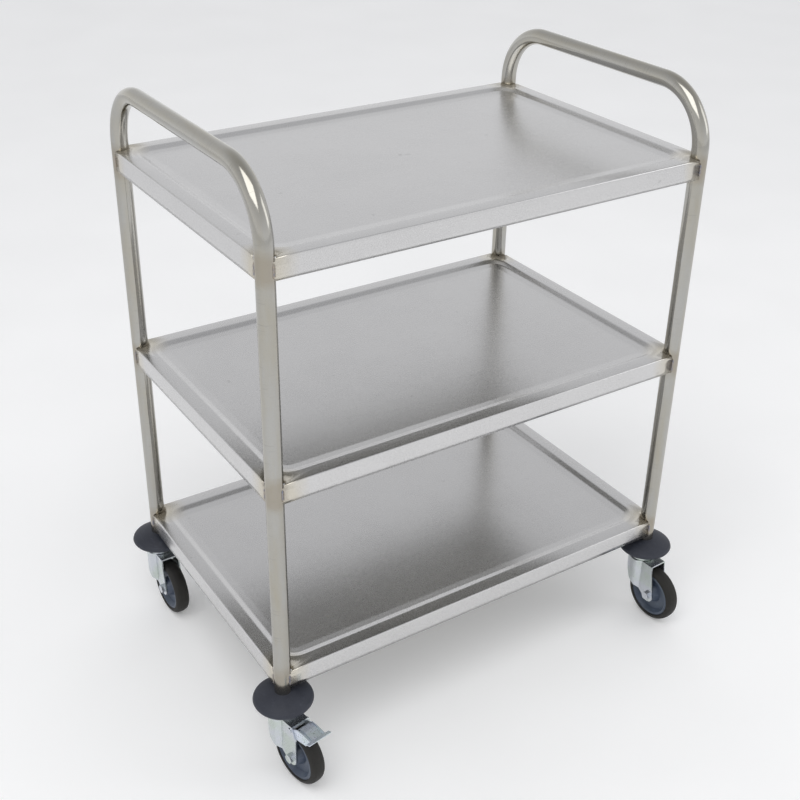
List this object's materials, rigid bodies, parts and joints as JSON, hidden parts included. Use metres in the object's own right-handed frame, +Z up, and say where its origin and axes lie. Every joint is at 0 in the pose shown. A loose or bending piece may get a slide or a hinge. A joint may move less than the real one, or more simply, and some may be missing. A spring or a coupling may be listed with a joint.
{
  "type": "food service trolley",
  "caption": "Stainless service trolley with tube end frames that form the push handles, sunk shelves, bumper discs and swivel castors, some with foot brakes.",
  "frame": {"origin": "on the floor, midway between the four legs", "axes": "+X along the trolley towards the right handle, -Y towards the near long side, +Z up"},
  "size_m": [0.791, 0.5847, 0.9298],
  "materials": {
    "stainless_tube": "satin stainless tube",
    "stainless_sheet": "satin stainless sheet",
    "zinc_plate": "bright zinc plated steel",
    "bearing_steel": "polished",
    "buffer_rubber": "matt charcoal moulding",
    "hub_plastic": "blue-grey moulding",
    "tyre_rubber": "dark grey rubber",
    "plug_plastic": "black moulding"
  },
  "bodies": {
    "root": {"end_frame_left": "stainless_tube", "end_frame_right": "stainless_tube", "bottom_shelf": "stainless_sheet", "bottom_stiffener": "stainless_sheet", "middle_shelf": "stainless_sheet", "middle_stiffener": "stainless_sheet", "top_shelf": "stainless_sheet", "top_stiffener": "stainless_sheet", "buffer_near_left": "buffer_rubber", "leg_plug_near_left": "plug_plastic", "stem_near_left": "zinc_plate", "upper_race_near_left": "zinc_plate", "buffer_near_right": "buffer_rubber", "leg_plug_near_right": "plug_plastic", "stem_near_right": "zinc_plate", "upper_race_near_right": "zinc_plate", "buffer_far_left": "buffer_rubber", "leg_plug_far_left": "plug_plastic", "stem_far_left": "zinc_plate", "upper_race_far_left": "zinc_plate", "buffer_far_right": "buffer_rubber", "leg_plug_far_right": "plug_plastic", "stem_far_right": "zinc_plate", "upper_race_far_right": "zinc_plate", "swivel_balls": "bearing_steel"},
    "castor_near_left": {"fork_near_left": "zinc_plate", "axle_bolt_near_left": "zinc_plate", "axle_nut_near_left": "zinc_plate", "bearing_sleeve_near_left": "bearing_steel", "brake_pin_near_left": "zinc_plate"},
    "wheel_near_left": {"wheel_hub_near_left": "hub_plastic", "tyre_near_left": "tyre_rubber"},
    "pedal_near_left": {"brake_pedal_near_left": "zinc_plate", "brake_shoe_near_left": "tyre_rubber"},
    "castor_near_right": {"fork_near_right": "zinc_plate", "axle_bolt_near_right": "zinc_plate", "axle_nut_near_right": "zinc_plate", "bearing_sleeve_near_right": "bearing_steel"},
    "wheel_near_right": {"wheel_hub_near_right": "hub_plastic", "tyre_near_right": "tyre_rubber"},
    "castor_far_left": {"fork_far_left": "zinc_plate", "axle_bolt_far_left": "zinc_plate", "axle_nut_far_left": "zinc_plate", "bearing_sleeve_far_left": "bearing_steel"},
    "wheel_far_left": {"wheel_hub_far_left": "hub_plastic", "tyre_far_left": "tyre_rubber"},
    "castor_far_right": {"fork_far_right": "zinc_plate", "axle_bolt_far_right": "zinc_plate", "axle_nut_far_right": "zinc_plate", "bearing_sleeve_far_right": "bearing_steel", "brake_pin_far_right": "zinc_plate"},
    "wheel_far_right": {"wheel_hub_far_right": "hub_plastic", "tyre_far_right": "tyre_rubber"},
    "pedal_far_right": {"brake_pedal_far_right": "zinc_plate", "brake_shoe_far_right": "tyre_rubber"}
  },
  "joints": [
    {"name": "swivel_near_left", "type": "hinge", "parent": "root", "child": "castor_near_left", "pos_m": [-0.351, -0.227, 0.11], "axis": [0, 0, 1], "continuous": true},
    {"name": "roll_near_left", "type": "hinge", "parent": "castor_near_left", "child": "wheel_near_left", "pos_m": [-0.34501, -0.26098, 0.0486], "axis": [0.9848, 0.1736, 0], "continuous": true},
    {"name": "brake_near_left", "type": "hinge", "parent": "castor_near_left", "child": "pedal_near_left", "pos_m": [-0.3451, -0.26048, 0.1024], "axis": [0.9848, 0.1736, 0], "range_deg": [0, 10]},
    {"name": "swivel_near_right", "type": "hinge", "parent": "root", "child": "castor_near_right", "pos_m": [0.351, -0.227, 0.11], "axis": [0, 0, 1], "continuous": true},
    {"name": "roll_near_right", "type": "hinge", "parent": "castor_near_right", "child": "wheel_near_right", "pos_m": [0.35281, -0.26145, 0.0486], "axis": [0.9986, 0.0523, 0], "continuous": true},
    {"name": "swivel_far_left", "type": "hinge", "parent": "root", "child": "castor_far_left", "pos_m": [-0.351, 0.227, 0.11], "axis": [0, 0, 1], "continuous": true},
    {"name": "roll_far_left", "type": "hinge", "parent": "castor_far_left", "child": "wheel_far_left", "pos_m": [-0.3498, 0.19252, 0.0486], "axis": [0.9994, 0.0349, 0], "continuous": true},
    {"name": "swivel_far_right", "type": "hinge", "parent": "root", "child": "castor_far_right", "pos_m": [0.351, 0.227, 0.11], "axis": [0, 0, 1], "continuous": true},
    {"name": "roll_far_right", "type": "hinge", "parent": "castor_far_right", "child": "wheel_far_right", "pos_m": [0.3552, 0.19276, 0.0486], "axis": [0.9925, 0.1219, 0], "continuous": true},
    {"name": "brake_far_right", "type": "hinge", "parent": "castor_far_right", "child": "pedal_far_right", "pos_m": [0.35514, 0.19325, 0.1024], "axis": [0.9925, 0.1219, 0], "range_deg": [0, 10]}
  ]
}
